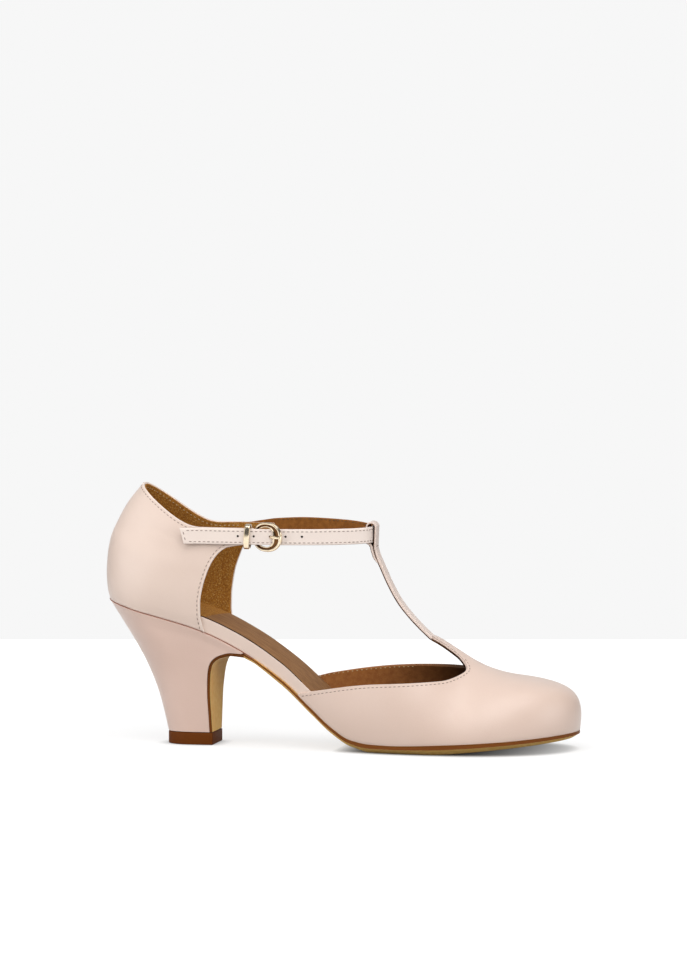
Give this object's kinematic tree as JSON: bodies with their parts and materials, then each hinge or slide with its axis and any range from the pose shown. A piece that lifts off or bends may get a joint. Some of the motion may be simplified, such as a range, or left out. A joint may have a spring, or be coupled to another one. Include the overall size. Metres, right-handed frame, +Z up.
{
  "type": "strap pump",
  "caption": "Right-foot T-strap pump with a round closed toe, open waist, buckled ankle strap and covered block heel.",
  "frame": {"origin": "on the floor under the middle of the shoe's length and width", "axes": "+X toward the toe, +Y toward the inner (medial) side of the foot, +Z up"},
  "size_m": [0.23, 0.0759, 0.1245],
  "materials": {
    "pink_leather": "smooth, semi-matte",
    "heel_cover": "smooth, semi-matte",
    "strap_leather": "smooth, semi-matte",
    "sole_leather": "waxed",
    "top_lift": "matte",
    "sock_leather": "napped",
    "gold_metal": "polished"
  },
  "bodies": {
    "root": {"upper": "pink_leather", "heel": "heel_cover", "ankle_strap": "strap_leather", "t_strap": "strap_leather", "outsole": "sole_leather", "top_piece": "top_lift", "insole": "sock_leather", "buckle_frame": "gold_metal", "buckle_prong": "gold_metal", "strap_keeper": "gold_metal"}
  },
  "joints": []
}
